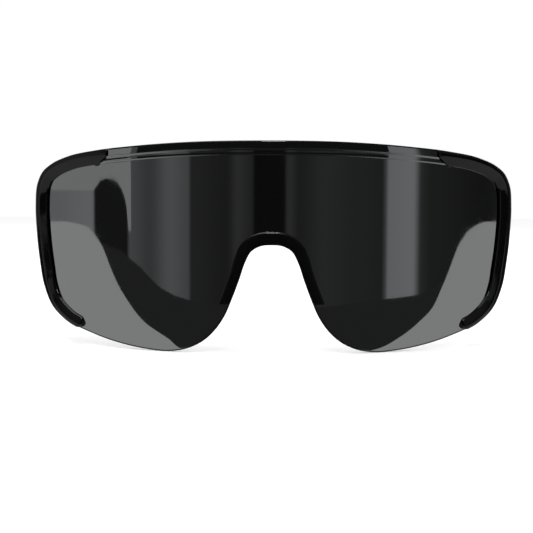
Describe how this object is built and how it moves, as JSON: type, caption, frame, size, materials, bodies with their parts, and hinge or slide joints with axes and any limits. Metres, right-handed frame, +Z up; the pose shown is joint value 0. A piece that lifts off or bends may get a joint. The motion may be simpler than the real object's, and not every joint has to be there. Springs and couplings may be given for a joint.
{
  "type": "shield sunglasses",
  "caption": "Wrap-round shield sunglasses: mirrored single-piece lens with a stepped top ledge, C-shaped side rims, nose bridge with soft pads, folding temples with rubber ear tips.",
  "frame": {"origin": "on the resting surface, under the middle of the whole part's box", "axes": "+Z up, -Y towards the front (the way the wearer looks), +X towards the wearer's left"},
  "size_m": [0.149, 0.1694, 0.0608],
  "materials": {
    "lens_mirror": "polycarbonate with a neutral grey flash mirror coat",
    "rim_black": "glossy injection-moulded nylon",
    "bridge_matte": "matte moulded nylon",
    "pad_silicone": "soft silicone",
    "hinge_steel": "stamped and tumbled",
    "screw_steel": "turned",
    "temple_black": "glossy injection-moulded nylon",
    "core_wire": "drawn wire",
    "tip_rubber": "matte moulded rubber"
  },
  "bodies": {
    "front": {"lens": "lens_mirror", "left_rim": "rim_black", "right_rim": "rim_black", "left_lens_screws": "screw_steel", "right_lens_screws": "screw_steel", "nose_bridge": "bridge_matte", "left_nose_pad": "pad_silicone", "right_nose_pad": "pad_silicone", "left_front_leaf": "hinge_steel", "right_front_leaf": "hinge_steel", "left_front_leaf_screws": "screw_steel", "right_front_leaf_screws": "screw_steel"},
    "left_arm": {"left_hinge_screw": "screw_steel", "left_temple_leaf": "hinge_steel", "left_temple_leaf_screws": "screw_steel", "left_temple": "temple_black", "left_core_wire": "core_wire", "left_temple_tip": "tip_rubber"},
    "right_arm": {"right_hinge_screw": "screw_steel", "right_temple_leaf": "hinge_steel", "right_temple_leaf_screws": "screw_steel", "right_temple": "temple_black", "right_core_wire": "core_wire", "right_temple_tip": "tip_rubber"}
  },
  "joints": [
    {"name": "left_temple_fold", "type": "hinge", "parent": "front", "child": "left_arm", "pos_m": [0.06801, -0.03952, 0.04201], "axis": [0, 0, 1], "range_deg": [0, 94]},
    {"name": "right_temple_fold", "type": "hinge", "parent": "front", "child": "right_arm", "pos_m": [-0.06801, -0.03952, 0.04201], "axis": [0, 0, -1], "range_deg": [0, 87]}
  ]
}
